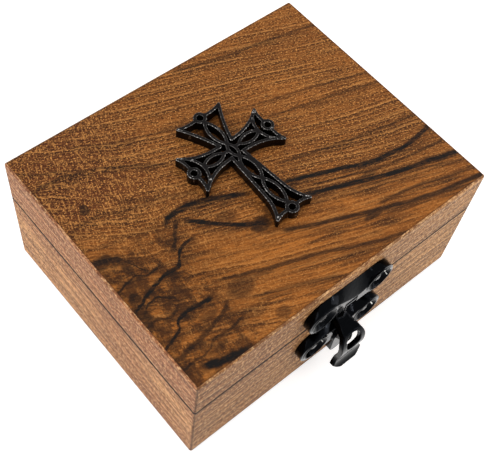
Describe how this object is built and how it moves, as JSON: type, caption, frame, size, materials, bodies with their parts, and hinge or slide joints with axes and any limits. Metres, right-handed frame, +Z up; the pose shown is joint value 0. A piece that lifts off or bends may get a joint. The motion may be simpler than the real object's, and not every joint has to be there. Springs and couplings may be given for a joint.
{
  "type": "rosary box",
  "caption": "Small hinged wooden box for a rosary, with an openwork metal cross glued on its lid and a cast duck-bill latch in front.",
  "frame": {"origin": "centre of the underside, on the surface that the box stands on", "axes": "+X along the width, to the right seen from the latch; -Y towards the front with the latch, +Y towards the hinges; +Z up"},
  "size_m": [0.1, 0.0919, 0.047],
  "materials": {
    "lid_wood": "oiled orange-brown hardwood with dark growth veins",
    "wall_wood": "sanded pale tan hardwood with fine pores",
    "bottom_wood": "sanded pale hardwood panel",
    "black_casting": "glossy black nickel on a cast zinc alloy",
    "black_steel": "black nickel on pressed steel"
  },
  "bodies": {
    "base": {"bottom_panel": "bottom_wood", "base_front_wall": "wall_wood", "base_back_wall": "wall_wood", "base_left_wall": "wall_wood", "base_right_wall": "wall_wood", "catch_plate": "black_casting", "catch_plate_nails": "black_casting", "left_hinge_base_leaf": "black_steel", "right_hinge_base_leaf": "black_steel", "base_hinge_nails": "black_steel", "left_hinge_pin": "black_steel", "right_hinge_pin": "black_steel"},
    "lid": {"top_panel": "lid_wood", "lid_front_wall": "wall_wood", "lid_back_wall": "wall_wood", "lid_left_wall": "wall_wood", "lid_right_wall": "wall_wood", "cross": "black_casting", "left_hinge_lid_leaf": "black_steel", "right_hinge_lid_leaf": "black_steel", "lid_hinge_nails": "black_steel", "hasp_plate": "black_casting", "hasp_plate_nails": "black_casting", "hasp_pin": "black_steel"},
    "hasp": {"hasp_tongue": "black_casting"}
  },
  "joints": [
    {"name": "lid_hinge", "type": "hinge", "parent": "base", "child": "lid", "pos_m": [0, 0.0418, 0.0285], "axis": [-1, 0, 0], "range_deg": [0, 180]},
    {"name": "hasp_hinge", "type": "hinge", "parent": "lid", "child": "hasp", "pos_m": [-0.0005, -0.0415, 0.033], "axis": [-1, 0, 0], "range_deg": [0, 110]}
  ]
}
